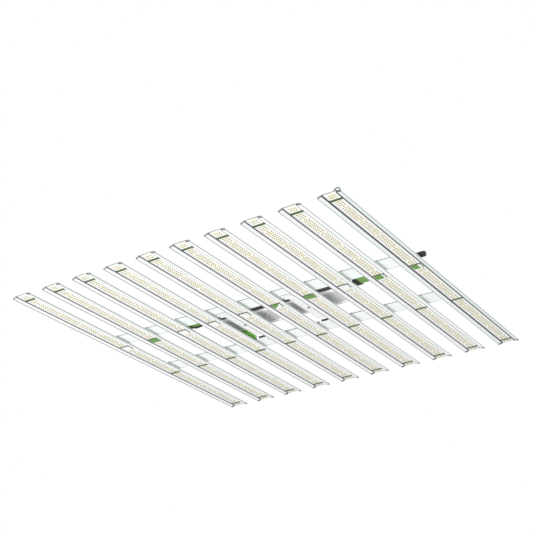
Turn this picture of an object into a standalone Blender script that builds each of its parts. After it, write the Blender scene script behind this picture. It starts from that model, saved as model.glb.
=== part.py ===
"""A ten-bar LED grow light: light bars side by side under two cross rails, with the driver slung between the rails.

The origin is under the middle of the fixture's box, at the height of the bars' lowest edges. +X runs across the
bars, +Y along them, and +Z is up, away from the plants. The light leaves the bars downwards.
"""

import math

import bmesh
import bpy
from mathutils import Matrix, Vector

MM = 0.001
GAP = 0.3 * MM  # between pieces that touch

# Light bars
BAR_COUNT = 10
BAR_PITCH = 115 * MM
BAR_LENGTH = 1097 * MM
BAR_HALF_WIDTH = 33.75 * MM
BAR_TOP = 8.0 * MM
BAR_TOP_HALF = 25 * MM
BED_FACE = 6.3 * MM
RECESS_HALF = 21.4 * MM
LIP_HEIGHT = 2.6 * MM
LAND_EDGE = 30.5 * MM
TIP_THICKNESS = 4.3 * MM

# LED boards, and the terminal block that comes down through each
BOARD_HALF_WIDTH = 18.6 * MM
BOARD_THICKNESS = 1.6 * MM
BOARD_FACE = BED_FACE - GAP - BOARD_THICKNESS
BOARD_END_GAP = 1.5 * MM
BOARD_JOINTS = (-513.5 * MM, 173.0 * MM, 526.1 * MM)
JOINT_WIDTH = 7.2 * MM
JOINT_DEPTH = 0.8 * MM
HOLE_NEAR = -91.6 * MM
HOLE_FAR = -61.6 * MM
HOLE_HALF_WIDTH = 15.5 * MM
NECK_CLEARANCE = 1.6 * MM
NECK_BOTTOM = 2.6 * MM
CONNECTOR_HALF_WIDTH = 16.5 * MM
CONNECTOR_HEIGHT = 9 * MM

# Cross rails
RAIL_BASE = BAR_TOP + GAP
RAIL_Y = 130.5 * MM
RAIL_WIDTH = 64 * MM
RAIL_HEIGHT = 20 * MM
RAIL_HALF_LENGTH = 525 * MM
RAIL_WALL = 1.6 * MM
RAIL_LIP = 4 * MM
RAIL_CORNER = 1.2 * MM
DUCT_WIDTH = 33 * MM
DUCT_MIDDLE = (RAIL_WIDTH - DUCT_WIDTH) / 2
RAIL_INNER_FACE = RAIL_Y - RAIL_WIDTH / 2
CAP_THICKNESS = 2 * MM
PORT_RADIUS = 3.4 * MM
PORT_HEIGHT = 13.4 * MM
PORT_INWARD = 10 * MM
TERMINAL_PORT_HEIGHT = 17.5 * MM
TERMINAL_PORTS = (-246 * MM, 342 * MM)
TRUNK_Y = -124.5 * MM
TRUNK_Z = 15 * MM
JUNCTION_BASE = RAIL_BASE + RAIL_LIP + GAP

# Driver, and the two saddles that carry it
DRIVER_BASE = 22.5 * MM
DRIVER_HEIGHT = 50 * MM
DRIVER_HALF_DEPTH = 50 * MM
DRIVER_HALF_LENGTH = 230 * MM
DRIVER_WALL = 2.5 * MM
DRIVER_CAP = 4 * MM
DRIVER_LEAD_HEIGHT = 46 * MM
LEAD_RADIUS = 4 * MM
FIN_HEIGHT = 4 * MM
BRACKET_X = 115 * MM
BRACKET_HALF_WIDTH = 17 * MM
BRACKET_HALF_LENGTH = 131 * MM
BRACKET_PLATE = 2.2 * MM
BRACKET_SEAT = 17.2 * MM

# Mains inlet, in the near rail's right end
INLET_Y = -112.8 * MM
INLET_Z = 18 * MM
INLET_RADIUS = 6 * MM
INLET_NOSE_RADIUS = 5.5 * MM
INLET_CAP_RADIUS = 7.75 * MM
INLET_REACH = 561 * MM
INLET_DEPTH = 12 * MM

# Hanging loops, one near each end of the first and last bars
HANGER_FROM_END = 15 * MM
HANGER_OUTWARD = 15 * MM
HANGER_WIDTH = 9 * MM
STRAP = 1.5 * MM
WIRE_RADIUS = 1.5 * MM
TUNNEL_RADIUS = 2.1 * MM
LOOP_HALF_WIDTH = 8 * MM
LOOP_HEIGHT = 14.1 * MM
PIVOT_HEIGHT = RAIL_BASE + TUNNEL_RADIUS

# The inlet stands out past the last bar, so the bars' middle lies to the left of the box's middle
LAST_BAR_X = (BAR_COUNT - 1) / 2 * BAR_PITCH
ORIGIN_SHIFT = (INLET_REACH - LAST_BAR_X - BAR_HALF_WIDTH) / 2

# Outlines are drawn flat and thickened, then turned so that they run along the fixture's X or Y
ALONG_X = Matrix(((0, 0, 1, 0), (1, 0, 0, 0), (0, 1, 0, 0), (0, 0, 0, 1)))
ALONG_Y = Matrix.Rotation(math.pi / 2, 4, "X")


def make_material(name, colour, roughness, metallic=0.0):
    material = bpy.data.materials.new(name)
    material.use_nodes = True
    shader = material.node_tree.nodes["Principled BSDF"]
    shader.inputs["Base Color"].default_value = (*colour, 1)
    shader.inputs["Roughness"].default_value = roughness
    shader.inputs["Metallic"].default_value = metallic
    return material


def place(name, mesh, material, location=(0, 0, 0), turn=0.0):
    """A named piece of the fixture, shaded smooth except across sharp edges. turn is about its own Z."""
    mesh.shade_smooth()
    mesh.set_sharp_from_angle(angle=math.radians(35))
    mesh.materials.clear()
    mesh.materials.append(material)
    piece = bpy.data.objects.new(name, mesh)
    parts.objects.link(piece)
    piece.parent = fixture
    piece.location = location
    piece.rotation_euler.z = turn
    return piece


def rounded(corners, steps=3):
    """The points of a closed outline of corners (x, y), with an arc at each corner (x, y, radius)."""
    points = []
    for i, corner in enumerate(corners):
        here = Vector(corner[:2])
        if len(corner) < 3:
            points.append(here)
            continue
        before = (Vector(corners[i - 1][:2]) - here).normalized()
        after = (Vector(corners[(i + 1) % len(corners)][:2]) - here).normalized()
        half_angle = before.angle(after) / 2
        centre = here + (before + after).normalized() * corner[2] / math.sin(half_angle)
        start = here + before * corner[2] / math.tan(half_angle) - centre
        side = 1 if before.cross(after) < 0 else -1
        for step in range(steps + 1):
            angle = side * (math.pi - 2 * half_angle) * step / steps
            points.append(centre + Matrix.Rotation(angle, 2) @ start)
    return points


def mirrored(half):
    """A closed outline from its half at +x, which starts and ends away from the axis."""
    return half + [(-corner[0], *corner[1:]) for corner in reversed(half)]


def closed_mesh(holder):
    """The welded mesh of a curve or a modified object, which is removed."""
    cutters.objects.link(holder)
    bpy.context.view_layer.update()
    evaluated = holder.evaluated_get(bpy.context.evaluated_depsgraph_get())
    mesh = bpy.data.meshes.new_from_object(evaluated)
    bpy.data.objects.remove(holder)
    work = bmesh.new()
    work.from_mesh(mesh)
    bmesh.ops.remove_doubles(work, verts=work.verts, dist=0.01 * MM)
    bmesh.ops.recalc_face_normals(work, faces=work.faces)
    work.to_mesh(mesh)
    work.free()
    return mesh


def extruded(outlines, length, turn=None, steps=3):
    """A slab of flat outlines, the inner ones as holes, thickened by length about their plane."""
    curve = bpy.data.curves.new("outline", "CURVE")
    curve.dimensions = "2D"
    curve.fill_mode = "BOTH"
    curve.extrude = length / 2
    for outline in outlines:
        points = rounded(outline, steps)
        spline = curve.splines.new("POLY")
        spline.points.add(len(points) - 1)
        spline.use_cyclic_u = True
        for slot, point in zip(spline.points, points):
            slot.co = (*point, 0, 1)
    mesh = closed_mesh(bpy.data.objects.new("outline", curve))
    if turn is not None:
        mesh.transform(turn)
    return mesh


def tube(points, radius, closed=False):
    """A round rod or wire through the points."""
    curve = bpy.data.curves.new("tube", "CURVE")
    curve.dimensions = "3D"
    curve.bevel_depth = radius
    curve.bevel_resolution = 2
    curve.use_fill_caps = not closed
    spline = curve.splines.new("POLY")
    spline.points.add(len(points) - 1)
    spline.use_cyclic_u = closed
    for slot, point in zip(spline.points, points):
        slot.co = (*point, 1)
    return closed_mesh(bpy.data.objects.new("tube", curve))


def turned(profile, sides=24):
    """A solid turned about X from the corners (x, radius) of a profile that starts and ends on the axis."""
    mesh = bpy.data.meshes.new("profile")
    work = bmesh.new()
    verts = [work.verts.new((radius, 0, x)) for x, radius in rounded(profile)]
    for first, second in zip(verts, verts[1:]):
        work.edges.new((first, second))
    work.to_mesh(mesh)
    work.free()
    holder = bpy.data.objects.new("profile", mesh)
    screw = holder.modifiers.new("turn", "SCREW")
    screw.axis = "Z"
    screw.steps = sides
    screw.render_steps = sides
    screw.use_merge_vertices = True
    screw.merge_threshold = 0.01 * MM
    solid = closed_mesh(holder)
    solid.transform(ALONG_X)
    return solid


def box(x0, x1, y0, y1, z0, z1):
    mesh = bpy.data.meshes.new("box")
    work = bmesh.new()
    bmesh.ops.create_cube(work, size=1)
    bmesh.ops.scale(work, verts=work.verts, vec=(x1 - x0, y1 - y0, z1 - z0))
    bmesh.ops.translate(work, verts=work.verts, vec=((x0 + x1) / 2, (y0 + y1) / 2, (z0 + z1) / 2))
    work.to_mesh(mesh)
    work.free()
    return mesh


def moved(mesh, x=0.0, y=0.0, z=0.0):
    mesh.transform(Matrix.Translation((x, y, z)))
    return mesh


def combined(mesh, tools, operation):
    """The mesh after each tool mesh has been joined to it or cut from it."""
    body = bpy.data.objects.new("body", mesh)
    tool_objects = [bpy.data.objects.new("tool", tool) for tool in tools]
    for tool_object in tool_objects:
        cutters.objects.link(tool_object)
        boolean = body.modifiers.new("boolean", "BOOLEAN")
        boolean.operation = operation
        boolean.solver = "EXACT"
        boolean.object = tool_object
    result = closed_mesh(body)
    for tool_object in tool_objects:
        bpy.data.objects.remove(tool_object)
    return result


def cut(mesh, *tools):
    return combined(mesh, tools, "DIFFERENCE")


def joined(mesh, *tools):
    return combined(mesh, tools, "UNION")


def smooth_route(stops, per_leg=4):
    """Points along one smooth curve through the stops."""
    stops = [Vector(stop) for stop in stops]
    guide = [2 * stops[0] - stops[1], *stops, 2 * stops[-1] - stops[-2]]
    points = []
    for a, b, c, d in zip(guide, guide[1:], guide[2:], guide[3:]):
        for step in range(per_leg):
            t = step / per_leg
            points.append(b + (c - a) * t / 2 + (a * 2 - b * 5 + c * 4 - d) * t ** 2 / 2
                          + (b * 3 - a - c * 3 + d) * t ** 3 / 2)
    points.append(stops[-1])
    return points


def bar_centre(index):
    return (index - (BAR_COUNT - 1) / 2) * BAR_PITCH


def bar_mesh():
    """A shallow arch with the board's bed in its middle and a hollow wing down each side."""
    half = [(RECESS_HALF, BED_FACE), (RECESS_HALF, LIP_HEIGHT), (LAND_EDGE, 0),
            (BAR_HALF_WIDTH, 0, 1.1 * MM), (BAR_HALF_WIDTH, TIP_THICKNESS, 0.9 * MM), (BAR_TOP_HALF, BAR_TOP)]
    chamber = [(23.2 * MM, 4.0 * MM), (30.6 * MM, 1.5 * MM), (32.2 * MM, 1.7 * MM),
               (32.2 * MM, 3.4 * MM), (26.2 * MM, 6.2 * MM), (23.2 * MM, 6.2 * MM)]
    other_chamber = [(-x, z) for x, z in chamber]
    mesh = extruded([mirrored(half), chamber, other_chamber], BAR_LENGTH, ALONG_Y)
    return cut(mesh, slab([cable_hole()], -BAR_TOP, 2 * BAR_TOP))


def cable_hole(clearance=0.0):
    """The outline of the hole through bed and board, square at its near end and round at its far end."""
    half = HOLE_HALF_WIDTH - clearance
    near = HOLE_NEAR + clearance
    far = HOLE_FAR - clearance
    return [(-half, near, 2.5 * MM), (half, near, 2.5 * MM), (half, far, 10 * MM), (-half, far, 10 * MM)]


def slab(outlines, bottom, top):
    """A slab of level outlines between two heights."""
    return moved(extruded(outlines, top - bottom), z=(top + bottom) / 2)


def board_mesh():
    """A strip with a shallow groove across its face wherever two lengths of it meet."""
    half = BAR_LENGTH / 2 - BOARD_END_GAP
    strip = [(-BOARD_HALF_WIDTH, -half), (BOARD_HALF_WIDTH, -half), (BOARD_HALF_WIDTH, half), (-BOARD_HALF_WIDTH, half)]
    mesh = slab([strip, cable_hole()], BOARD_FACE, BOARD_FACE + BOARD_THICKNESS)
    grooves = [box(-2 * BOARD_HALF_WIDTH, 2 * BOARD_HALF_WIDTH, joint - JOINT_WIDTH / 2, joint + JOINT_WIDTH / 2,
                   0, BOARD_FACE + JOINT_DEPTH) for joint in BOARD_JOINTS]
    return cut(mesh, *grooves)


def connector_mesh():
    """A terminal block on the bar's back, with a neck down through bed and board."""
    half = CONNECTOR_HALF_WIDTH
    near = -RAIL_INNER_FACE + GAP
    far = HOLE_FAR + 5 * MM
    base = [(-half, near, 1.5 * MM), (half, near, 1.5 * MM), (half, far, 3 * MM), (-half, far, 3 * MM)]
    block = slab([base], RAIL_BASE, RAIL_BASE + CONNECTOR_HEIGHT)
    return joined(block, slab([cable_hole(NECK_CLEARANCE)], NECK_BOTTOM, RAIL_BASE + 2 * MM))


def add_light_bars(white, board_white, plastic_white):
    bar = bar_mesh()
    board = board_mesh()
    connector = connector_mesh()
    for index in range(BAR_COUNT):
        x = bar_centre(index)
        place(f"light_bar_{index + 1:02d}", bar, white, (x, 0, 0))
        place(f"led_board_{index + 1:02d}", board, board_white, (x, 0, 0))
        place(f"bar_connector_{index + 1:02d}", connector, plastic_white, (x, 0, 0))


def ports():
    """Where each lead leaves the near rail, (x, z): one for every bar, and one for each terminal block."""
    bars = [bar_centre(index) for index in range(BAR_COUNT)]
    return ([(x - math.copysign(PORT_INWARD, x), PORT_HEIGHT) for x in bars]
            + [(x, TERMINAL_PORT_HEIGHT) for x in TERMINAL_PORTS])


def rail_base():
    """The underside of a rail's section: a wide flat base, with a low lip up along its -Y edge."""
    half = RAIL_WIDTH / 2
    inner = half - RAIL_WALL
    return [(-inner, RAIL_WALL), (-inner, RAIL_LIP), (-half, RAIL_LIP), (-half, 0, RAIL_CORNER),
            (half, 0, RAIL_CORNER)]


def near_rail_mesh():
    """A base and a duct, open upwards for its lid, with a port through its far wall for each lead that leaves it."""
    half = RAIL_WIDTH / 2
    inner = half - RAIL_WALL
    duct = half - DUCT_WIDTH
    top = RAIL_HEIGHT - RAIL_WALL - GAP
    outline = rail_base() + [(half, top), (inner, top), (inner, RAIL_WALL), (duct + RAIL_WALL, RAIL_WALL),
                             (duct + RAIL_WALL, top), (duct, top), (duct, RAIL_WALL)]
    mesh = extruded([outline], 2 * RAIL_HALF_LENGTH, ALONG_X)
    return cut(mesh, *[tube([(x, half - 3 * RAIL_WALL, z - RAIL_BASE), (x, half + RAIL_WALL, z - RAIL_BASE)],
                            PORT_RADIUS) for x, z in ports()])


def lid_mesh():
    """The near rail's lid, with a lip down inside each wall of the duct."""
    half = DUCT_WIDTH / 2
    lip = half - RAIL_WALL - GAP
    under = RAIL_HEIGHT - RAIL_WALL
    foot = under - 5 * MM
    outline = mirrored([(lip - RAIL_WALL, under), (lip - RAIL_WALL, foot), (lip, foot), (lip, under),
                        (half, under), (half, RAIL_HEIGHT, RAIL_CORNER)])
    return moved(extruded([outline], 2 * RAIL_HALF_LENGTH, ALONG_X), y=DUCT_MIDDLE)


def far_rail_mesh():
    """The same base, with a closed duct on it."""
    half = RAIL_WIDTH / 2
    inner = half - RAIL_WALL
    duct = half - DUCT_WIDTH
    outside = rail_base() + [(half, RAIL_HEIGHT, RAIL_CORNER), (duct, RAIL_HEIGHT, RAIL_CORNER), (duct, RAIL_WALL)]
    inside = [(duct + RAIL_WALL, RAIL_WALL), (inner, RAIL_WALL), (inner, RAIL_HEIGHT - RAIL_WALL),
              (duct + RAIL_WALL, RAIL_HEIGHT - RAIL_WALL)]
    return extruded([outside, inside], 2 * RAIL_HALF_LENGTH, ALONG_X)


def rail_cap_mesh():
    half = RAIL_WIDTH / 2
    duct = half - DUCT_WIDTH
    outline = [(duct, RAIL_LIP), (-half, RAIL_LIP, RAIL_CORNER), (-half, 0, RAIL_CORNER), (half, 0, RAIL_CORNER),
               (half, RAIL_HEIGHT, RAIL_CORNER), (duct, RAIL_HEIGHT, RAIL_CORNER)]
    return extruded([outline], CAP_THICKNESS, ALONG_X)


def add_rails(white):
    near = (0, -RAIL_Y, RAIL_BASE)
    far = (0, RAIL_Y, RAIL_BASE)
    place("rail_near", near_rail_mesh(), white, near)
    place("rail_near_lid", lid_mesh(), white, near)
    place("rail_far", far_rail_mesh(), white, far)
    plate = rail_cap_mesh()
    inlet_hole = turned([(-CAP_THICKNESS, 0), (-CAP_THICKNESS, INLET_RADIUS + GAP),
                         (CAP_THICKNESS, INLET_RADIUS + GAP), (CAP_THICKNESS, 0)])
    holed_plate = cut(plate.copy(), moved(inlet_hole, y=INLET_Y + RAIL_Y, z=INLET_Z - RAIL_BASE))
    cap_x = RAIL_HALF_LENGTH + GAP + CAP_THICKNESS / 2
    place("rail_near_cap_left", plate, white, (-cap_x, -RAIL_Y, RAIL_BASE))
    place("rail_near_cap_right", holed_plate, white, (cap_x, -RAIL_Y, RAIL_BASE))
    place("rail_far_cap_left", plate, white, (-cap_x, RAIL_Y, RAIL_BASE))
    place("rail_far_cap_right", plate, white, (cap_x, RAIL_Y, RAIL_BASE))


def driver_mesh():
    """An extruded housing: a sunk panel along its underside, fins along its top, and ledges for the board."""
    half = DRIVER_HALF_DEPTH
    panel = half - 14 * MM
    sunk = 1.5 * MM
    fin_root = DRIVER_HEIGHT - FIN_HEIGHT
    outside = [(panel, sunk), (panel + sunk, 0), (half, 0, 2.5 * MM), (half, fin_root)]
    for number in reversed(range(5)):
        middle = number * 11 * MM
        outside += [(middle + 1.6 * MM, fin_root), (middle + 1.4 * MM, DRIVER_HEIGHT)]
        if number:
            outside += [(middle - 1.4 * MM, DRIVER_HEIGHT), (middle - 1.6 * MM, fin_root)]
    inner = half - DRIVER_WALL
    floor = sunk + DRIVER_WALL
    ledge_top = 8.5 * MM
    inside = [(inner, floor), (inner, ledge_top - 1.5 * MM), (inner - 3 * MM, ledge_top - 1.5 * MM),
              (inner - 3 * MM, ledge_top), (inner, ledge_top), (inner, fin_root - DRIVER_WALL)]
    return extruded([mirrored(outside), mirrored(inside)], 2 * DRIVER_HALF_LENGTH, ALONG_X)


def circuit_board_mesh():
    """The driver's board, with its bulk capacitors, chokes and heat spreader standing on it."""
    base = DRIVER_BASE + 8.5 * MM + GAP
    half_length = DRIVER_HALF_LENGTH - 6 * MM
    half_depth = DRIVER_HALF_DEPTH - DRIVER_WALL - 1 * MM
    board = box(-half_length, half_length, -half_depth, half_depth, base, base + 1.6 * MM)
    blocks = []
    for x, half_x, half_y, height in ((-170, 26, 20, 24), (-118, 18, 30, 18), (60, 22, 22, 22), (140, 34, 28, 20)):
        blocks.append(box((x - half_x) * MM, (x + half_x) * MM, -half_y * MM, half_y * MM,
                          base + 1 * MM, base + height * MM))
    return joined(board, *blocks)


def add_driver(dark, circuit_green, copper):
    place("driver_housing", driver_mesh(), dark, (0, 0, DRIVER_BASE))
    half = DRIVER_HALF_DEPTH
    end = mirrored([(half, 0, 2.5 * MM), (half, DRIVER_HEIGHT - FIN_HEIGHT / 2, 2.5 * MM)])
    cap = extruded([end], DRIVER_CAP, ALONG_X)
    cap_x = DRIVER_HALF_LENGTH + GAP + DRIVER_CAP / 2
    place("driver_cap_left", cap, dark, (-cap_x, 0, DRIVER_BASE))
    place("driver_cap_right", cap, dark, (cap_x, 0, DRIVER_BASE))
    place("driver_circuit_board", circuit_board_mesh(), circuit_green)
    core = mirrored([(23 * MM, -21 * MM, 4 * MM), (23 * MM, 21 * MM, 4 * MM)])
    winding_base = DRIVER_BASE + 8.5 * MM + 1.6 * MM + 2 * GAP
    place("driver_transformer", extruded([core], 24 * MM), copper, (-30 * MM, 0, winding_base + 12 * MM))


def add_driver_brackets(white):
    """Hat-shaped saddles, screwed up under both rails, whose raised walls carry the driver."""
    tab_top = RAIL_BASE - GAP
    rise = RAIL_INNER_FACE - 8 * MM
    foot = RAIL_INNER_FACE - 1 * MM
    half = [(BRACKET_HALF_LENGTH, tab_top - BRACKET_PLATE), (BRACKET_HALF_LENGTH, tab_top),
            (foot, tab_top), (rise, BRACKET_SEAT)]
    under = [(rise - 1 * MM, BRACKET_SEAT - BRACKET_PLATE), (foot - 1 * MM, tab_top - BRACKET_PLATE)]
    left = [(-y, z) for y, z in reversed(half)]
    left_under = [(-y, z) for y, z in reversed(under)]
    strip = extruded([half + left + left_under + under], 2 * BRACKET_HALF_WIDTH, ALONG_X)
    wall_half = rise - 4 * MM
    walls = [box(x, x + BRACKET_PLATE, -wall_half, wall_half, BRACKET_SEAT - 1 * MM, DRIVER_BASE - GAP)
             for x in (-BRACKET_HALF_WIDTH, BRACKET_HALF_WIDTH - BRACKET_PLATE)]
    saddle = joined(strip, *walls)
    place("driver_bracket_left", saddle, white, (-BRACKET_X, 0, 0))
    place("driver_bracket_right", saddle, white, (BRACKET_X, 0, 0))


def lead_mesh(plug, stops):
    """A flexible lead on a smooth route, with its moulded plug."""
    return joined(tube(smooth_route(stops), LEAD_RADIUS), box(*plug))


def add_wiring(green, black):
    """The terminal blocks on the near rail, their leads to the driver, and the wires inside the rail."""
    wall = -RAIL_INNER_FACE + GAP
    place("output_terminal_block", box(-266 * MM, -226 * MM, wall, -75 * MM, 14 * MM, 28 * MM), green)
    place("input_terminal_block", box(329 * MM, 356 * MM, wall, -54 * MM, 14 * MM, 28 * MM), green)
    place("junction_block", box(-200 * MM, -136 * MM, DRIVER_HALF_DEPTH + GAP, RAIL_INNER_FACE + 9 * MM,
                                JUNCTION_BASE, 32 * MM), green)
    driver_end = DRIVER_HALF_LENGTH + DRIVER_CAP + 2 * GAP
    z = DRIVER_LEAD_HEIGHT
    output_plug = (-284 * MM, -246 * MM, -74.7 * MM, -60 * MM, 18 * MM, 28 * MM)
    output_stops = [(-265 * MM, -64 * MM, 23 * MM), (-266 * MM, -48 * MM, 26 * MM), (-264 * MM, -30 * MM, 37 * MM),
                    (-250 * MM, -18 * MM, z), (-242 * MM, -18 * MM, z), (-driver_end, -18 * MM, z)]
    place("driver_output_lead", lead_mesh(output_plug, output_stops), black)
    input_plug = (310 * MM, 328.7 * MM, -77 * MM, -43 * MM, 16 * MM, 26 * MM)
    input_stops = [(314 * MM, -56 * MM, 21 * MM), (300 * MM, -54 * MM, 24 * MM), (276 * MM, -44 * MM, 36 * MM),
                   (252 * MM, -20 * MM, z), (243 * MM, -20 * MM, z), (driver_end, -20 * MM, z)]
    place("driver_input_lead", lead_mesh(input_plug, input_stops), black)
    trunk_end = LAST_BAR_X - PORT_INWARD / 2
    trunk = tube([(-trunk_end, TRUNK_Y, TRUNK_Z), (trunk_end, TRUNK_Y, TRUNK_Z)], 4.4 * MM)
    inlet_end = RAIL_HALF_LENGTH - INLET_DEPTH - GAP
    mains = tube([(trunk_end - 35 * MM, TRUNK_Y, TRUNK_Z), (trunk_end - 10 * MM, INLET_Y, INLET_Z),
                  (inlet_end, INLET_Y, INLET_Z)], 3.2 * MM)
    branches = [tube([(x, TRUNK_Y, z), (x, -RAIL_INNER_FACE, z)], 2.4 * MM) for x, z in ports()]
    place("wiring_harness", joined(trunk, mains, *branches), black)


def add_inlet(black):
    """A round mains inlet through the rail's end plate, under a cap that turns a quarter to lock."""
    plate = RAIL_HALF_LENGTH + 2 * GAP + CAP_THICKNESS
    inner_end = RAIL_HALF_LENGTH - INLET_DEPTH
    nose_end = INLET_REACH - 8 * MM
    body = [(inner_end, 0), (inner_end, INLET_RADIUS), (plate, INLET_RADIUS), (plate, INLET_CAP_RADIUS),
            (plate + 2 * MM, INLET_CAP_RADIUS), (plate + 2 * MM, INLET_NOSE_RADIUS),
            (nose_end, INLET_NOSE_RADIUS, 0.8 * MM), (nose_end, 0)]
    place("mains_inlet", turned(body), black, (0, INLET_Y, INLET_Z))
    cap_start = plate + 2 * MM + GAP
    bore = INLET_NOSE_RADIUS + 0.5 * MM
    bore_end = nose_end + GAP - cap_start
    length = INLET_REACH - cap_start
    cap = [(bore_end, 0), (bore_end, bore), (0, bore), (0, INLET_CAP_RADIUS),
           (length, INLET_CAP_RADIUS, 3 * MM), (length, 0)]
    place("inlet_cap", turned(cap), black, (cap_start, INLET_Y, INLET_Z))


def strap_mesh():
    """A strap over the loop's wire, with its screwed flange on the +Y side. The origin is on the wire's axis."""
    base = -TUNNEL_RADIUS
    outer = TUNNEL_RADIUS + STRAP
    top = base + STRAP
    outline = [(10 * MM, base), (10 * MM, top), (outer, top), (outer, outer, outer - 0.1 * MM),
               (-outer, outer, outer - 0.1 * MM), (-outer, top), (-outer - STRAP, top), (-outer - STRAP, base),
               (-TUNNEL_RADIUS, base), (-TUNNEL_RADIUS, TUNNEL_RADIUS, TUNNEL_RADIUS - 0.1 * MM),
               (TUNNEL_RADIUS, TUNNEL_RADIUS, TUNNEL_RADIUS - 0.1 * MM), (TUNNEL_RADIUS, base)]
    return extruded([outline], HANGER_WIDTH, ALONG_X, steps=4)


def loop_mesh(upright):
    """A wire loop, square at its pivot and round at its far side. The origin is on its pivot axis."""
    half = LOOP_HALF_WIDTH
    outline = [(-half, 0, 2.5 * MM), (half, 0, 2.5 * MM), (half, LOOP_HEIGHT, half - 0.1 * MM),
               (-half, LOOP_HEIGHT, half - 0.1 * MM)]
    mesh = tube([(x, 0, z) for x, z in rounded(outline, 5)], WIRE_RADIUS, closed=True)
    if not upright:
        mesh.transform(Matrix.Rotation(math.pi / 2, 4, "X"))
    return mesh


def add_hangers(steel):
    """Four loops to hang the fixture by. The near right one stands up, and the others lie folded inwards."""
    strap = strap_mesh()
    folded_loop = loop_mesh(upright=False)
    upright_loop = loop_mesh(upright=True)
    for side_name, side in (("left", -1), ("right", 1)):
        for end_name, end in (("near", -1), ("far", 1)):
            x = side * (LAST_BAR_X + HANGER_OUTWARD)
            y = end * (BAR_LENGTH / 2 - HANGER_FROM_END)
            turn = 0 if end == 1 else math.pi
            loop = upright_loop if (side, end) == (1, -1) else folded_loop
            place(f"hanger_strap_{end_name}_{side_name}", strap, steel, (x, y, PIVOT_HEIGHT), turn)
            place(f"hang_loop_{end_name}_{side_name}", loop, steel, (x, y, PIVOT_HEIGHT), turn)


for old_object in list(bpy.data.objects):
    bpy.data.objects.remove(old_object)

parts = bpy.data.collections.new("led_grow_light")
cutters = bpy.data.collections.new("cutters")
bpy.context.scene.collection.children.link(parts)
bpy.context.scene.collection.children.link(cutters)

fixture = bpy.data.objects.new("fixture", None)
parts.objects.link(fixture)
fixture.location.x = -ORIGIN_SHIFT

powder_white = make_material("powder_white", (0.9, 0.91, 0.9), 0.35)
board_white = make_material("board_white", (0.88, 0.88, 0.86), 0.4)
plastic_white = make_material("plastic_white", (0.86, 0.87, 0.86), 0.5)
driver_dark = make_material("driver_dark", (0.03, 0.03, 0.032), 0.4)
circuit_green = make_material("circuit_green", (0.03, 0.16, 0.06), 0.5)
terminal_green = make_material("terminal_green", (0.1, 0.42, 0.03), 0.45)
copper_winding = make_material("copper_winding", (0.6, 0.3, 0.12), 0.4, 1.0)
cable_black = make_material("cable_black", (0.02, 0.02, 0.02), 0.6)
loop_steel = make_material("loop_steel", (0.45, 0.5, 0.5), 0.3, 1.0)

add_light_bars(powder_white, board_white, plastic_white)
add_rails(powder_white)
add_driver(driver_dark, circuit_green, copper_winding)
add_driver_brackets(powder_white)
add_wiring(terminal_green, cable_black)
add_inlet(cable_black)
add_hangers(loop_steel)
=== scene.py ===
"""The look of a ten-bar LED grow light: its LEDs, seals, joints, screws and label, the pieces and paint that
stand in for shade, and every material.
"""
import math

import bmesh
import bpy
from mathutils import Matrix, Vector


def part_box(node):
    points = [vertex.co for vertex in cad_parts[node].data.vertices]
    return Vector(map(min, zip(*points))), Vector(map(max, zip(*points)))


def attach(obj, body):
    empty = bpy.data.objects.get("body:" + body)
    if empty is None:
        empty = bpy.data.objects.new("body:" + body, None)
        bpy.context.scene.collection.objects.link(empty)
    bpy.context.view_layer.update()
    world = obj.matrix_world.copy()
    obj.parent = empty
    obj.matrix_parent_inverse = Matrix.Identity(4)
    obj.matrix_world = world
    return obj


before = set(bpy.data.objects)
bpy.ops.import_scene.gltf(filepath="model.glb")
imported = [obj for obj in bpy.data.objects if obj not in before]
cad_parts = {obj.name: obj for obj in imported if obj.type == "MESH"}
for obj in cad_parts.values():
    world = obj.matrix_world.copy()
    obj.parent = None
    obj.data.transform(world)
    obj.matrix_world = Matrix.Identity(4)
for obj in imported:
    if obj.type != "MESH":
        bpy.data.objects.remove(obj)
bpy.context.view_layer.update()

MM = 0.001
BAR_COUNT = 10
bar_low, bar_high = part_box("light_bar_01")
last_low, last_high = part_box(f"light_bar_{BAR_COUNT:02d}")
board_low, board_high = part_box("led_board_01")
FIRST_BAR_X = (bar_low.x + bar_high.x) / 2
BAR_PITCH = ((last_low.x + last_high.x) / 2 - FIRST_BAR_X) / (BAR_COUNT - 1)
CENTRE_X = FIRST_BAR_X + BAR_PITCH * (BAR_COUNT - 1) / 2
BOARD_FACE = board_low.z
BOARD_HALF_WIDTH = (board_high.x - board_low.x) / 2
BOARD_HALF_LENGTH = (board_high.y - board_low.y) / 2
BAR_HALF_WIDTH = (bar_high.x - bar_low.x) / 2
BAR_HALF_LENGTH = bar_high.y
rail_low, rail_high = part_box("rail_far")
RAIL_BASE = rail_low.z
RAIL_Y = (rail_low.y + rail_high.y) / 2
RAIL_HALF_WIDTH = (rail_high.y - rail_low.y) / 2
driver_low, driver_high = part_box("driver_housing")
DRIVER_BASE = driver_low.z

# Along a board: its three joints, and the cable hole through it
BOARD_JOINTS = (-513.5 * MM, 173.0 * MM, 526.1 * MM)
JOINT_WIDTH = 7.2 * MM
HOLE_NEAR = -91.6 * MM
HOLE_FAR = -61.6 * MM
HOLE_HALF_WIDTH = 15.5 * MM
GREEN_INSERTS = (2, 6, 7, 9, 10)

# The raised middle of a driver bracket, and the outline of the painted shadow strip across the slope of its
# far leg, (y, z)
SEAT_UNDERSIDE = 15.0 * MM
LEG_SHADOW_STRIP = ((91.9 * MM, 11.9 * MM), (95.9 * MM, 6.7 * MM), (95.1 * MM, 6.1 * MM), (91.1 * MM, 11.3 * MM))

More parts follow.
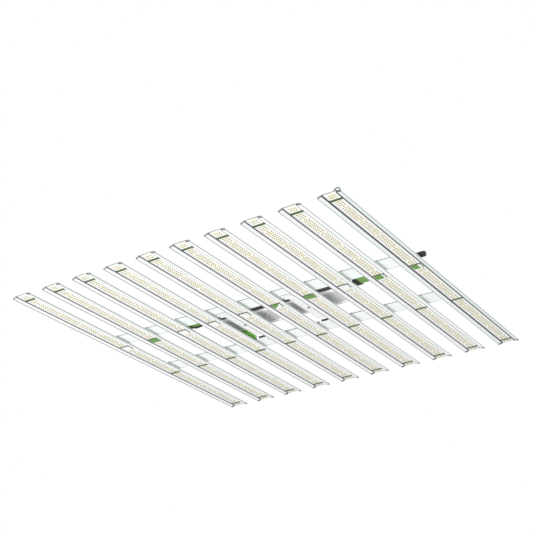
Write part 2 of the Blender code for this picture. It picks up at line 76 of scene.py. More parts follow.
# LED packages: every tenth column has only its middle one
LED_SIZE = 3.1 * MM
LED_ROW_PITCH = 7.5 * MM
LED_COLUMN_PITCH = 8.77 * MM
LED_FIRST_COLUMN = -502.0 * MM
LED_GAP_EVERY = 10
LED_GAP_FIRST = 3
END_COLUMNS = (-536.8 * MM, -527.5 * MM, 535.4 * MM)


# ---------------------------------------------------------------- materials

def new_material(name, roughness, metallic=0.0, coat=0.0):
    """A Principled material, its shader and its node tree."""
    material = bpy.data.materials.new(name)
    material.use_nodes = True
    shader = material.node_tree.nodes["Principled BSDF"]
    shader.inputs["Roughness"].default_value = roughness
    shader.inputs["Metallic"].default_value = metallic
    shader.inputs["Coat Weight"].default_value = coat
    return material, shader, material.node_tree


def object_point(tree):
    """The point's place in the object's own space."""
    return tree.nodes.new("ShaderNodeTexCoord").outputs["Object"]


def noise(tree, scale, detail, stretch=(1, 1, 1)):
    """Noise over the object, with its frequencies stretched along x, y and z."""
    mapping = tree.nodes.new("ShaderNodeMapping")
    mapping.inputs["Scale"].default_value = stretch
    tree.links.new(object_point(tree), mapping.inputs["Vector"])
    node = tree.nodes.new("ShaderNodeTexNoise")
    node.inputs["Scale"].default_value = scale
    node.inputs["Detail"].default_value = detail
    tree.links.new(mapping.outputs["Vector"], node.inputs["Vector"])
    return node.outputs["Fac"]


def ramp(tree, value, stops):
    """A colour ramp from value through (place, colour) stops."""
    node = tree.nodes.new("ShaderNodeValToRGB")
    elements = node.color_ramp.elements
    while len(elements) < len(stops):
        elements.new(1.0)
    for element, (place, colour) in zip(elements, stops):
        element.position = place
        element.color = (*colour, 1)
    tree.links.new(value, node.inputs["Fac"])
    return node.outputs["Color"]


def arithmetic(tree, operation, *inputs):
    """The result of a maths operation on numbers and sockets."""
    node = tree.nodes.new("ShaderNodeMath")
    node.operation = operation
    for socket, value in zip(node.inputs, inputs):
        if isinstance(value, (int, float)):
            socket.default_value = value
        else:
            tree.links.new(value, socket)
    return node.outputs["Value"]


def mix(tree, factor, first, second):
    """The first colour where the factor is 0, and the second where it is 1."""
    node = tree.nodes.new("ShaderNodeMix")
    node.data_type = "RGBA"
    colours = [socket for socket in node.inputs if socket.type == "RGBA"]
    for socket, value in zip((node.inputs["Factor"], *colours), (factor, first, second)):
        if isinstance(value, (int, float)):
            socket.default_value = value
        elif isinstance(value, tuple):
            socket.default_value = (*value, 1)
        else:
            tree.links.new(value, socket)
    return next(socket for socket in node.outputs if socket.type == "RGBA")


def bump(tree, shader, height, strength, distance):
    """Raises the shader's surface with the height, up to the distance in metres."""
    node = tree.nodes.new("ShaderNodeBump")
    node.inputs["Strength"].default_value = strength
    node.inputs["Distance"].default_value = distance
    tree.links.new(height, node.inputs["Height"])
    tree.links.new(node.outputs["Normal"], shader.inputs["Normal"])


def mottled(name, dark, light, roughness, scale, grain, grain_depth, metallic=0.0, coat=0.0):
    """A surface whose colour drifts between two tones, with a fine grain."""
    material, shader, tree = new_material(name, roughness, metallic, coat)
    tone = ramp(tree, noise(tree, scale, 4.0), [(0.3, dark), (0.7, light)])
    tree.links.new(tone, shader.inputs["Base Color"])
    bump(tree, shader, noise(tree, grain, 2.0), 0.35, grain_depth)
    return material


def axes(tree, vector):
    """The x, y and z of a vector."""
    split = tree.nodes.new("ShaderNodeSeparateXYZ")
    tree.links.new(vector, split.inputs["Vector"])
    return split.outputs


def across_bar(tree, x):
    """How far a point lies to the right of its bar's middle, in metres."""
    in_bars = arithmetic(tree, "DIVIDE", arithmetic(tree, "SUBTRACT", x, FIRST_BAR_X), BAR_PITCH)
    off = arithmetic(tree, "SUBTRACT", in_bars, arithmetic(tree, "ROUND", in_bars))
    return arithmetic(tree, "MULTIPLY", off, BAR_PITCH)


def beyond(tree, value, start, fade):
    """0 up to start, rising to 1 over the fade."""
    node = tree.nodes.new("ShaderNodeMapRange")
    node.inputs["From Min"].default_value = start
    node.inputs["From Max"].default_value = start + fade
    tree.links.new(value, node.inputs["Value"])
    return node.outputs["Result"]


def below(tree, value, end, fade):
    """1 up to the fade before the end, falling to 0 at it."""
    return beyond(tree, arithmetic(tree, "MULTIPLY", value, -1), -end, fade)


def both(tree, first, second):
    """1 where both masks are."""
    return arithmetic(tree, "MULTIPLY", first, second)


def far_edge(tree, y, width):
    """1 on the underside within the width of a bar's far end, and 0 elsewhere: where the painted dark outline
    of shade goes.
    """
    normal_z = axes(tree, tree.nodes.new("ShaderNodeTexCoord").outputs["Normal"])["Z"]
    faces_down = below(tree, normal_z, -0.05, 0.1)
    return both(tree, faces_down, beyond(tree, y, BAR_HALF_LENGTH - width, 0.3 * MM))


def bar_paint():
    """White powder coat, with a cool painted shade on every right wing, deeper on the last bar, and on the
    last bar's left wing; a painted dark edge shade along both wing edges; and a painted dark outline of shade
    at both ends.
    """
    material, shader, tree = new_material("bar_powder_coat", 0.38, coat=0.1)
    x, y, z = axes(tree, object_point(tree))
    across = across_bar(tree, x)
    tone = ramp(tree, noise(tree, 9.0, 4.0), [(0.3, (0.86, 0.88, 0.87)), (0.7, (0.92, 0.93, 0.92))])

    # Painted shade: a cool tint on the right wings, deeper on the last bar, and on the last bar's left wing
    last = beyond(tree, x, last_low.x - 1 * MM, 0.5 * MM)
    right_wing_shade = beyond(tree, across, BAR_HALF_WIDTH - 12 * MM, 0.3 * MM)
    tone = mix(tree, right_wing_shade, tone, mix(tree, last, (0.88, 0.92, 0.9), (0.72, 0.79, 0.755)))
    left_wing_shade = below(tree, across, -BOARD_HALF_WIDTH - 3 * MM, 0.3 * MM)
    tone = mix(tree, both(tree, left_wing_shade, last), tone, (0.84, 0.9, 0.87))

    # Painted edge shade: a dark line along the outer edge of each wing, darkest on the first bar and palest
    # on the last
    right_tip = beyond(tree, across, BAR_HALF_WIDTH - 1.0 * MM, 0.2 * MM)
    left_tip = below(tree, across, -BAR_HALF_WIDTH + 3.7 * MM, 0.2 * MM)
    tip_edge_shade = both(tree, arithmetic(tree, "MAXIMUM", left_tip, right_tip), below(tree, z, 1.5 * MM, 0.3 * MM))
    to_last_bar = beyond(tree, x, FIRST_BAR_X, (BAR_COUNT - 1) * BAR_PITCH)
    tone = mix(tree, tip_edge_shade, tone, mix(tree, to_last_bar, (0.03, 0.05, 0.04), (0.45, 0.48, 0.46)))

    # Painted shade: a dark outline across the near end face and the far end of the underside
    near_end = below(tree, y, -BAR_HALF_LENGTH + 0.35 * MM, 0.1 * MM)
    painted_end_outline = arithmetic(tree, "MAXIMUM", near_end, far_edge(tree, y, 9 * MM))
    tree.links.new(mix(tree, painted_end_outline, tone, (0.06, 0.08, 0.065)), shader.inputs["Base Color"])
    bump(tree, shader, noise(tree, 900.0, 2.0), 0.3, 0.15 * MM)
    return material


def rail_paint():
    """White powder coat with a cool cast, and a thin line of painted shade along both edges of the underside.
    """
    material, shader, tree = new_material("rail_powder_coat", 0.4, coat=0.1)
    _, y, z = axes(tree, object_point(tree))
    tone = ramp(tree, noise(tree, 9.0, 4.0), [(0.3, (0.86, 0.91, 0.885)), (0.7, (0.92, 0.955, 0.935))])
    off_middle = arithmetic(tree, "SUBTRACT", arithmetic(tree, "ABSOLUTE", y), RAIL_Y)
    # Painted edge shade: a thin grey line along both edges of the underside
    edge = beyond(tree, arithmetic(tree, "ABSOLUTE", off_middle), RAIL_HALF_WIDTH - 2.3 * MM, 0.2 * MM)
    line = both(tree, edge, below(tree, z, RAIL_BASE + 1.4 * MM, 0.3 * MM))
    tree.links.new(mix(tree, line, tone, (0.16, 0.2, 0.165)), shader.inputs["Base Color"])
    bump(tree, shader, noise(tree, 900.0, 2.0), 0.3, 0.15 * MM)
    return material


def driver_paint():
    """Black anodising, with a bare grey panel along the underside and a bright strip down each side of it."""
    material, shader, tree = new_material("driver_anodising", 0.42)
    _, y, z = axes(tree, object_point(tree))
    brushed = (0.05, 1, 1)
    black = ramp(tree, noise(tree, 30.0, 3.0, brushed),
                 [(0.3, (0.016, 0.015, 0.02)), (0.7, (0.032, 0.03, 0.038))])
    panel = ramp(tree, noise(tree, 40.0, 3.0, brushed), [(0.3, (0.6, 0.6, 0.6)), (0.7, (0.68, 0.68, 0.68))])
    border = beyond(tree, arithmetic(tree, "ABSOLUTE", y), 36.5 * MM, 0.5 * MM)
    under = mix(tree, border, panel, (0.93, 0.91, 0.94))
    low = below(tree, z, DRIVER_BASE + 2.0 * MM, 0.3 * MM)
    tree.links.new(mix(tree, low, black, under), shader.inputs["Base Color"])
    bump(tree, shader, noise(tree, 1200.0, 2.0, brushed), 0.3, 0.06 * MM)
    return material


def board_mask():
    """White solder mask, with a painted yellow glow round the LEDs, painted shade along its left side beside
    the seal, and a painted dark outline of shade at its far end.
    """
    material, shader, tree = new_material("white_solder_mask", 0.42, coat=0.2)
    x, y, _ = axes(tree, object_point(tree))
    across = across_bar(tree, x)
    tone = ramp(tree, noise(tree, 14.0, 3.0), [(0.3, (0.86, 0.86, 0.84)), (0.7, (0.92, 0.92, 0.9))])
    # Painted light: a pale yellow glow round the LEDs
    glow = ramp(tree, noise(tree, 60.0, 2.0), [(0.35, (0.92, 0.88, 0.66)), (0.65, (0.95, 0.93, 0.84))])
    plain = beyond(tree, arithmetic(tree, "ABSOLUTE", across), 9.5 * MM, 2.0 * MM)
    tone = mix(tree, plain, glow, tone)
    # Painted shade: a lilac grey band along the left side of the board, beside the seal
    margin_shade = below(tree, across, -14.6 * MM, 0.6 * MM)
    tone = mix(tree, margin_shade, tone, (0.6, 0.58, 0.63))
    # Painted shade: a dark outline across the far end of the board's face
    tone = mix(tree, far_edge(tree, y, 5 * MM), tone, (0.12, 0.14, 0.09))
    tree.links.new(tone, shader.inputs["Base Color"])
    bump(tree, shader, noise(tree, 600.0, 2.0), 0.1, 0.05 * MM)
    return material


def phosphor():
    """The yellow gel over an LED's chips, a little different from one LED to the next."""
    material, shader, tree = new_material("led_phosphor", 0.3, coat=0.5)
    tone = ramp(tree, noise(tree, 260.0, 0.0), [(0.35, (0.17, 0.12, 0.03)), (0.65, (0.31, 0.24, 0.07))])
    tree.links.new(tone, shader.inputs["Base Color"])
    bump(tree, shader, noise(tree, 3000.0, 1.0), 0.2, 0.05 * MM)
    return material


powder_coat = mottled("powder_coat", (0.84, 0.86, 0.85), (0.9, 0.91, 0.9),
                      0.38, 9.0, 900.0, 0.15 * MM, coat=0.15)
bar_coat = bar_paint()
solder_mask = board_mask()
led_phosphor = phosphor()
led_shell = mottled("led_shell", (0.035, 0.027, 0.022), (0.07, 0.058, 0.042), 0.45, 200.0, 2500.0, 0.05 * MM)
nylon_white = mottled("moulded_nylon", (0.82, 0.83, 0.82), (0.9, 0.9, 0.89), 0.5, 60.0, 1800.0, 0.08 * MM)
rail_coat = rail_paint()
driver_black = driver_paint()
insert_green = mottled("insert_plastic", (0.09, 0.24, 0.035), (0.15, 0.34, 0.065),
                       0.45, 60.0, 1600.0, 0.08 * MM)
circuit_mask = mottled("circuit_mask", (0.015, 0.11, 0.035), (0.03, 0.17, 0.06),
                       0.4, 90.0, 1500.0, 0.05 * MM)
junction_plastic = mottled("junction_plastic", (0.22, 0.6, 0.08), (0.27, 0.68, 0.11),
                           0.42, 50.0, 1600.0, 0.08 * MM)
terminal_plastic = mottled("terminal_plastic", (0.11, 0.25, 0.04), (0.15, 0.32, 0.06),
                           0.42, 50.0, 1600.0, 0.08 * MM)
olive_tape = mottled("olive_tape", (0.2, 0.25, 0.05), (0.3, 0.34, 0.1), 0.5, 90.0, 1500.0, 0.05 * MM)
joint_mask = mottled("joint_solder_mask", (0.018, 0.06, 0.014), (0.035, 0.1, 0.028),
                     0.4, 120.0, 1500.0, 0.05 * MM)
copper_wire = mottled("enamelled_copper", (0.5, 0.2, 0.07), (0.7, 0.34, 0.14), 0.35, 300.0, 900.0, 0.2 * MM,
                      metallic=1.0)
black_sheath = mottled("black_sheath", (0.012, 0.013, 0.013), (0.03, 0.032, 0.032),
                       0.55, 40.0, 1400.0, 0.08 * MM)
# Black rubber for the seals and screws, also used for the black pieces of painted shade at the cable holes
# and brackets
black_rubber_and_shade = mottled("black_rubber_and_painted_shade", (0.02, 0.022, 0.02), (0.045, 0.05, 0.045), 0.7, 80.0, 1200.0, 0.08 * MM)
zinc_plate = mottled("zinc_plate", (0.1, 0.15, 0.15), (0.17, 0.24, 0.24), 0.4, 120.0, 1500.0, 0.05 * MM,
                     metallic=0.9)
screw_steel = mottled("screw_steel", (0.45, 0.46, 0.46), (0.62, 0.63, 0.63), 0.28, 150.0, 1500.0, 0.04 * MM,
                      metallic=1.0)
solder_metal = mottled("solder", (0.55, 0.56, 0.56), (0.75, 0.75, 0.74),
                       0.3, 400.0, 2000.0, 0.05 * MM, metallic=1.0)
# Grey film for the rating plate, also used for the grey strip of painted shade on the brackets' near tabs
label_and_shade_grey = mottled("label_film_and_painted_shade", (0.3, 0.31, 0.32), (0.36, 0.37, 0.38), 0.5, 50.0, 900.0, 0.04 * MM)


# ---------------------------------------------------------------- building

def finished(name, work, materials):
    """A mesh of the work, shaded smooth except across sharp edges."""
    mesh = bpy.data.meshes.new(name)
    work.to_mesh(mesh)
    work.free()
    mesh.shade_smooth()
    mesh.set_sharp_from_angle(angle=math.radians(38))
    for material in materials:
        mesh.materials.append(material)
    return mesh


def add(name, mesh, location=(0, 0, 0), body="root", bevel=0.0):
    """Adds a piece of the object that rides on a body."""
    piece = bpy.data.objects.new(name, mesh)
    bpy.context.scene.collection.objects.link(piece)
    piece.location = location
    if bevel:
        rounding = piece.modifiers.new("rounding", "BEVEL")
        rounding.width = bevel
        rounding.segments = 2
        rounding.limit_method = "ANGLE"
    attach(piece, body)


def boxes(extents):
    """A bmesh of boxes given by (x0, x1, y0, y1, z0, z1)."""
    work = bmesh.new()
    for x0, x1, y0, y1, z0, z1 in extents:
        made = bmesh.ops.create_cube(work, size=1)["verts"]
        bmesh.ops.scale(work, verts=made, vec=(x1 - x0, y1 - y0, z1 - z0))
        bmesh.ops.translate(work, verts=made, vec=((x0 + x1) / 2, (y0 + y1) / 2, (z0 + z1) / 2))
    return work


def corner_points(x0, x1, y0, y1, radii, steps=5):
    """A rectangle's outline with rounded corners, from the near left one round by the near right one."""
    points = []
    corners = ((x0, y0, 1, 1, 180), (x1, y0, -1, 1, 270), (x1, y1, -1, -1, 0), (x0, y1, 1, -1, 90))
    for (x, y, inward_x, inward_y, start), radius in zip(corners, radii):
        for step in range(steps + 1):
            angle = math.radians(start + 90 * step / steps)
            points.append((x + radius * (inward_x + math.cos(angle)),
                           y + radius * (inward_y + math.sin(angle))))
    return points


def span(work, first, second):
    """Adds a solid between two outlines of vertices, which run the same way round."""
    work.faces.new(first)
    work.faces.new(second[::-1])
    for i in range(len(first)):
        j = (i + 1) % len(first)
        work.faces.new((first[i], second[i], second[j], first[j]))


def take_in(work, part, index):
    """Moves a bmesh's faces into the work, with the index of their material."""
    scratch = bpy.data.meshes.new("part")
    part.to_mesh(scratch)
    part.free()
    before = len(work.faces)
    work.from_mesh(scratch)
    work.faces.ensure_lookup_table()
    for face in work.faces[before:]:
        face.material_index = index


def hole_outline(inset):
    """The outline of a board's cable hole, which has tighter corners at its near end."""
    half = HOLE_HALF_WIDTH - inset
    near = 2.5 * MM
    far = 10 * MM
    return corner_points(-half, half, HOLE_NEAR + inset, HOLE_FAR - inset, (near, near, far, far))


def ring(work, outer_inset, inner_inset, z0, z1):
    """Adds a band that follows the cable hole's outline."""
    loops = [[work.verts.new((x, y, z)) for x, y in hole_outline(inset)]
             for inset, z in ((outer_inset, z0), (inner_inset, z0), (inner_inset, z1), (outer_inset, z1))]
    count = len(loops[0])
    for i in range(count):
        j = (i + 1) % count
        for first, second in zip(loops, loops[1:] + loops[:1]):
            work.faces.new((first[i], first[j], second[j], second[i]))


def led_package():
    """One LED, face down: a square shell with its edges eased, and a round window sunk into its face."""
    work = bmesh.new()
    height = 0.65 * MM
    made = bmesh.ops.create_cube(work, size=1)["verts"]
    bmesh.ops.scale(work, verts=made, vec=(LED_SIZE, LED_SIZE, height))
    bmesh.ops.translate(work, verts=made, vec=(0, 0, -height / 2))
    uprights = [e for e in work.edges if abs(e.verts[0].co.z - e.verts[1].co.z) > height / 2]
    bmesh.ops.bevel(work, geom=uprights, offset=0.3 * MM, segments=1, affect="EDGES")
    face = min(work.faces, key=lambda f: f.calc_center_median().z)
    bmesh.ops.inset_region(work, faces=[face], thickness=0.28 * MM)
    bmesh.ops.inset_region(work, faces=[face], thickness=0.12 * MM, depth=-0.1 * MM)
    face.material_index = 1
    mesh = bpy.data.meshes.new("led")
    work.to_mesh(mesh)
    work.free()
    return mesh


def led_columns():
    """Where LEDs stand along a board, (y, how many across)."""
    columns = [(y, 3) for y in END_COLUMNS]
    clear = LED_SIZE / 2 + 1.2 * MM
    index = 0
    y = LED_FIRST_COLUMN
    while y < BOARD_HALF_LENGTH - 2 * LED_SIZE:
        over_hole = HOLE_NEAR - clear < y < HOLE_FAR + clear
        at_joint = any(abs(y - joint) < JOINT_WIDTH / 2 + clear for joint in BOARD_JOINTS)
        if not over_hole and not at_joint and y < BOARD_JOINTS[-1]:
            columns.append((y, 1 if index % LED_GAP_EVERY == LED_GAP_FIRST else 3))
        index += 1
        y = LED_FIRST_COLUMN + index * LED_COLUMN_PITCH
    return columns


def leds_mesh():
    """Every LED of one board."""
    package = led_package()
    work = bmesh.new()
    for y, across in led_columns():
        rows = (-1, 0, 1) if across == 3 else (0,)
        for row in rows:
            before = len(work.verts)
            work.from_mesh(package)
            work.verts.ensure_lookup_table()
            bmesh.ops.translate(work, verts=work.verts[before:], vec=(row * LED_ROW_PITCH, y, 0))
    return finished("leds", work, [led_shell, led_phosphor])


def seals_mesh(last):
    """A black strip in each groove beside the board, and black pieces of painted shade across the near edge
    of its cable hole and round the hole. The last bar's strips are broader.
    """
    inner = BOARD_HALF_WIDTH + 0.2 * MM
    right_outer = BOARD_HALF_WIDTH + 2.6 * MM
    left_outer = right_outer if last else BOARD_HALF_WIDTH + 1.9 * MM
    half = BOARD_HALF_LENGTH + 0.6 * MM
    face = -1.8 * MM if last else -0.5 * MM
    root = 1.7 * MM
    strips = [(-left_outer, -inner, -half, half, face, root),
              (inner, right_outer, -half, half, face, root),
              # Painted shade: a black strip across the board at the cable hole's near edge
              (-inner, inner, HOLE_NEAR - 2.9 * MM, HOLE_NEAR - 0.1 * MM, -0.6 * MM, -0.05 * MM)]
    if last:
        strips += [(right_outer, right_outer + 1.6 * MM, -half, half, face - 0.55 * MM, face)]
    work = boxes(strips)
    # Painted shade: a black band lining the cable hole
    ring(work, 0.2 * MM, 1.4 * MM, -0.4 * MM, 1.5 * MM)
    return finished("seals", work, [black_rubber_and_shade])


def joints_mesh():
    """A dark link over each joint of a board, with soldered pads and a tape, olive at the middle joint."""
    half = BOARD_HALF_WIDTH - 0.2 * MM
    links = []
    tapes = []
    pads = bmesh.new()
    for joint in BOARD_JOINTS:
        links.append((-half, half, joint - 3.5 * MM, joint + 3.5 * MM, -0.5 * MM, 0.7 * MM))
        links.append((-half, half, joint - 4.4 * MM, joint + 2.0 * MM, -0.9 * MM, -0.05 * MM))
        tapes.append((-half, half, joint + 2.0 * MM, joint + 4.4 * MM, -0.55 * MM, -0.05 * MM))
        for column in range(-5, 6):
            made = bmesh.ops.create_cone(pads, cap_ends=True, segments=10, radius1=0.3 * MM,
                                         radius2=0.5 * MM, depth=0.3 * MM)["verts"]
            bmesh.ops.translate(pads, verts=made, vec=(column * 3.1 * MM, joint - 1 * MM, -1.0 * MM))
    near_tape, middle_tape, far_tape = tapes
    work = boxes([*links, near_tape, far_tape])
    take_in(work, pads, 1)
    take_in(work, boxes([middle_tape]), 2)
    return finished("joints", work, [joint_mask, solder_metal, olive_tape])


def screw(work, radius, height, place, turn=None):
    """Adds a pan-head screw, head down: a low dome with a round recess in its middle."""
    # Each ring's share of the radius, and of the height
    rings = ((1.0, 0.0), (1.0, 0.45), (0.86, 0.8), (0.6, 1.0), (0.42, 1.0), (0.34, 0.5), (0.12, 0.45))
    turn = turn or Matrix.Identity(3)
    place = Vector(place)
    count = 14
    previous = None
    for scale, drop in rings:
        ring_points = []
        for i in range(count):
            angle = 2 * math.pi * i / count
            across = radius * scale
            point = Vector((across * math.cos(angle), across * math.sin(angle), -height * drop))
            ring_points.append(work.verts.new(place + turn @ point))
        if previous:
            for i in range(count):
                j = (i + 1) % count
                work.faces.new((previous[i], ring_points[i], ring_points[j], previous[j]))
        else:
            work.faces.new(ring_points)
        previous = ring_points
    work.faces.new(previous[::-1])


def board_screws_mesh():
    """A screw each side of the lone LED in every gap between the groups."""
    work = bmesh.new()
    for y, across in led_columns():
        if across == 1:
            for side in (-1, 1):
                screw(work, 1.5 * MM, 0.8 * MM, (side * 11.5 * MM, y, 0))
    bmesh.ops.recalc_face_normals(work, faces=work.faces)
    return finished("board_screws", work, [screw_steel])


def black_screws_mesh():
    """The black screw up through the middle of each bracket into the driver."""
    work = bmesh.new()
    for name in ("left", "right"):
        low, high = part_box(f"driver_bracket_{name}")
        screw(work, 3.6 * MM, 2.0 * MM, ((low.x + high.x) / 2 + 1.5 * MM, 1.5 * MM, SEAT_UNDERSIDE))
    bmesh.ops.recalc_face_normals(work, faces=work.faces)
    return finished("driver_screws", work, [black_rubber_and_shade])


def fixings_mesh():
    """A pair of screws through each tab of each bracket into the rails."""
    work = bmesh.new()
    for name in ("left", "right"):
        low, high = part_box(f"driver_bracket_{name}")
        x = (low.x + high.x) / 2
        for side in (-1, 1):
            for across in (-1, 1):
                screw(work, 1.9 * MM, 1.0 * MM, (x + across * 11 * MM, side * 114 * MM, low.z))
    bmesh.ops.recalc_face_normals(work, faces=work.faces)
    return finished("bracket_screws", work, [screw_steel])


def bracket_shade_strips_mesh():
    """A grey strip of painted shade along the end of each bracket's near tab, and a black strip of painted
    shadow across the slope of its far leg.
    """
    work = bmesh.new()
    for name in ("left", "right"):
        low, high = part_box(f"driver_bracket_{name}")
        # Painted shade: a grey strip along the near tab's end edge
        strip = (low.x, high.x, low.y + 3 * MM, low.y + 5.5 * MM, low.z - 0.5 * MM, low.z + 0.5 * MM)
        take_in(work, boxes([strip]), 1)
        # Painted shadow: a black strip across the far leg's slope, in the gap by the rail
        middle = (low.x + high.x) / 2 + 2 * MM
        ends = [[work.verts.new((x, y, z)) for y, z in LEG_SHADOW_STRIP]
                for x in (middle - 12 * MM, middle + 12 * MM)]
        span(work, *ends)
    bmesh.ops.recalc_face_normals(work, faces=work.faces)
    return finished("bracket_shade_strips", work, [black_rubber_and_shade, label_and_shade_grey])


def label_mesh():
    """A blank rating plate on the driver's far side."""
    work = boxes([(-62 * MM, 62 * MM, driver_high.y - 0.05 * MM, driver_high.y + 0.3 * MM,
                   DRIVER_BASE + 12 * MM, DRIVER_BASE + 38 * MM)])
    return finished("driver_label", work, [label_and_shade_grey])


def cap_ribs_mesh():
    """The grip ribs round the inlet's cap, which lie along it."""
    work = bmesh.new()
    low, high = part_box("inlet_cap")
    middle_y = (low.y + high.y) / 2
    middle_z = (low.z + high.z) / 2
    radius = (high.z - low.z) / 2
    count = 20
    for i in range(count):
        angle = 2 * math.pi * i / count
        outline = ((radius - 0.3 * MM, -0.55 * MM), (radius + 0.45 * MM, -0.35 * MM),
                   (radius + 0.45 * MM, 0.35 * MM), (radius - 0.3 * MM, 0.55 * MM))
        ends = []
        for x in (low.x + 1.2 * MM, high.x - 4 * MM):
            ends.append([work.verts.new((x, middle_y + out * math.cos(angle) - side * math.sin(angle),
                                         middle_z + out * math.sin(angle) + side * math.cos(angle)))
                         for out, side in outline])
        span(work, *ends)
    bmesh.ops.recalc_face_normals(work, faces=work.faces)
    return finished("cap_ribs", work, [black_sheath])


def end_screws_mesh():
    """Screws into the ends of both rails, and one through the flange of each hanging loop's strap."""
    work = bmesh.new()
    leftward = Matrix.Rotation(math.pi / 2, 3, "Y")
    for end_name in ("near", "far"):
        for side_name, turn in (("left", leftward), ("right", leftward.transposed())):
            low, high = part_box(f"rail_{end_name}_cap_{side_name}")
            x = low.x if side_name == "left" else high.x
            beside_inlet = (end_name, side_name) == ("near", "right")
            for y in (high.y - 5 * MM,) if beside_inlet else (low.y + 35 * MM, high.y - 5 * MM):
                screw(work, 1.9 * MM, 1.0 * MM, (x, y, high.z - 4.5 * MM), turn)
    over = Matrix.Rotation(math.pi, 3, "X")
    for end_name, end in (("near", -1), ("far", 1)):
        for side_name in ("left", "right"):
            low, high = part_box(f"hanger_strap_{end_name}_{side_name}")
            y = high.y - 3 * MM if end > 0 else low.y + 3 * MM
            screw(work, 1.6 * MM, 0.9 * MM, ((low.x + high.x) / 2, y, low.z + 1.5 * MM), over)
    bmesh.ops.recalc_face_normals(work, faces=work.faces)
    return finished("end_screws", work, [screw_steel])


def insert_mesh(number):
    """A moulded plug in a bar's cable hole, which fills it or leaves its right corner or far half open."""
    near = HOLE_NEAR + 0.3 * MM
    far = HOLE_FAR - 6 * MM
    half = HOLE_HALF_WIDTH - 0.3 * MM
    chamfer = 5 * MM
    if number == 6:
        points = [(-half, near), (half - 4 * MM, near), (half - 6 * MM, near + 5 * MM),
                  (-2 * MM, far - 8 * MM), (-half + 2 * MM, far)]
    elif number == 10:
        points = [(-half, near), (half - 10 * MM, near), (half - 8 * MM, far), (-half + 3 * MM, far)]
    elif number == 9:
        points = [(-half, near), (half - 9 * MM, near), (half - 5 * MM, near + 9 * MM), (half - 9 * MM, far),
                  (-half, far)]
    else:
        points = [(-half, near), (half - chamfer, near), (half, near + chamfer), (half, far - chamfer),
                  (half - chamfer, far), (-half + chamfer, far), (-half, far - chamfer)]
    work = bmesh.new()
    top, bottom = [[work.verts.new((x, y, z)) for x, y in points] for z in (0, -2.1 * MM)]
    span(work, top, bottom)
    return finished("insert", work, [insert_green])


leds = leds_mesh()
seals = seals_mesh(last=False)
broad_seals = seals_mesh(last=True)
board_screws = board_screws_mesh()
joints = joints_mesh()
for number in range(1, BAR_COUNT + 1):
    place = (FIRST_BAR_X + (number - 1) * BAR_PITCH, 0, BOARD_FACE)
    add(f"leds_{number:02d}", leds, place)
    add(f"board_seals_{number:02d}", broad_seals if number == BAR_COUNT else seals, place)
    add(f"board_screws_{number:02d}", board_screws, place)
    add(f"board_joints_{number:02d}", joints, place)
    if number in GREEN_INSERTS:
        add(f"cable_insert_{number:02d}", insert_mesh(number), place, bevel=0.4 * MM)

add("bracket_screws", fixings_mesh())
add("driver_screws", black_screws_mesh())
add("driver_label", label_mesh(), bevel=0.15 * MM)
add("bracket_shade_strips", bracket_shade_strips_mesh())
add("rail_end_screws", end_screws_mesh())
add("inlet_cap_ribs", cap_ribs_mesh(), body="inlet_cap_body")


# ---------------------------------------------------------------- CAD nodes

def dress(prefix, material):
    """Gives a material to every CAD node whose name starts with the prefix."""
    for name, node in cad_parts.items():
        if name.startswith(prefix):
            node.data.materials.clear()
            node.data.materials.append(material)


dress("light_bar", bar_coat)
dress("led_board", solder_mask)
dress("bar_connector", nylon_white)
dress("rail", rail_coat)
dress("driver_bracket", powder_coat)
dress("driver_housing", driver_black)
dress("driver_cap", driver_black)
dress("driver_circuit", circuit_mask)
dress("driver_transformer", copper_wire)
dress("driver_output", black_sheath)
dress("driver_input", black_sheath)
dress("output_terminal", terminal_plastic)
dress("input_terminal", terminal_plastic)
dress("junction_block", junction_plastic)
dress("wiring_harness", black_sheath)
dress("mains_inlet", black_sheath)
dress("inlet_cap", black_sheath)
dress("hanger_strap", zinc_plate)
dress("hang_loop", zinc_plate)


# ---------------------------------------------------------------- stage

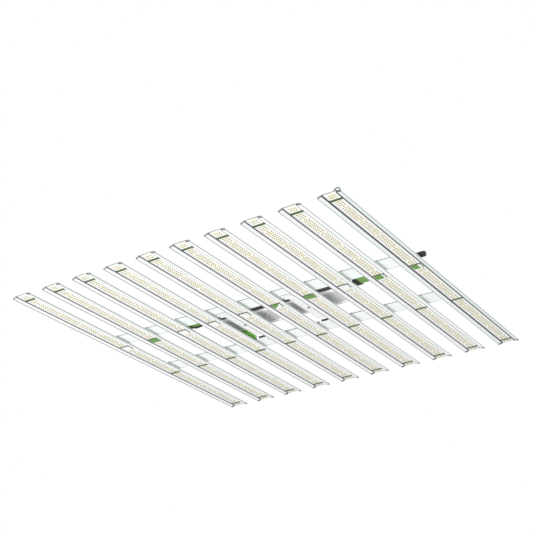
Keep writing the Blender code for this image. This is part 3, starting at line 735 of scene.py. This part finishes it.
def add_floor():
    """A plain pale floor, far below."""
    work = bmesh.new()
    bmesh.ops.create_grid(work, x_segments=1, y_segments=1, size=40)
    mesh = bpy.data.meshes.new("floor")
    work.to_mesh(mesh)
    work.free()
    material, shader, tree = new_material("floor_paint", 0.7)
    tone = ramp(tree, noise(tree, 1.5, 3.0), [(0.3, (0.68, 0.68, 0.68)), (0.7, (0.72, 0.72, 0.72))])
    tree.links.new(tone, shader.inputs["Base Color"])
    mesh.materials.append(material)
    floor = bpy.data.objects.new("floor", mesh)
    floor.location.z = -4.2
    bpy.context.scene.collection.objects.link(floor)


def add_light(name, size, energy, location, aim):
    """A round soft light, turned towards a point."""
    light = bpy.data.lights.new(name, "AREA")
    light.shape = "DISK"
    light.size = size
    light.energy = energy
    lamp = bpy.data.objects.new(name, light)
    lamp.location = location
    lamp.rotation_euler = (Vector(aim) - Vector(location)).to_track_quat("-Z", "Y").to_euler()
    bpy.context.scene.collection.objects.link(lamp)


def add_world():
    """An even white surround, which the camera sees as pure white."""
    world = bpy.data.worlds.new("studio")
    world.use_nodes = True
    nodes = world.node_tree.nodes
    links = world.node_tree.links
    surround = nodes["Background"]
    surround.inputs["Color"].default_value = (0.99, 1, 1, 1)
    surround.inputs["Strength"].default_value = 1.02
    backdrop = nodes.new("ShaderNodeBackground")
    backdrop.inputs["Color"].default_value = (1, 1, 1, 1)
    blend = nodes.new("ShaderNodeMixShader")
    links.new(nodes.new("ShaderNodeLightPath").outputs["Is Camera Ray"], blend.inputs["Fac"])
    links.new(surround.outputs["Background"], blend.inputs[1])
    links.new(backdrop.outputs["Background"], blend.inputs[2])
    links.new(blend.outputs["Shader"], nodes["World Output"].inputs["Surface"])
    bpy.context.scene.world = world


def add_camera():
    """A long lens below the fixture, off its near right corner."""
    camera = bpy.data.cameras.new("camera")
    camera.lens = 76.94
    camera.sensor_width = 36
    camera.clip_start = 0.05
    holder = bpy.data.objects.new("camera", camera)
    holder.location = (CENTRE_X + 1.7256, -2.6232, -1.4127)
    holder.rotation_euler = (math.radians(116.954), 0, math.radians(33.846))
    bpy.context.scene.collection.objects.link(holder)
    bpy.context.scene.camera = holder


add_floor()
add_world()
add_light("key", size=2.5, energy=86, location=(-0.9, -2.8, -2.4), aim=(0, 0, 0))
add_camera()
bpy.context.scene.view_settings.view_transform = "Standard"
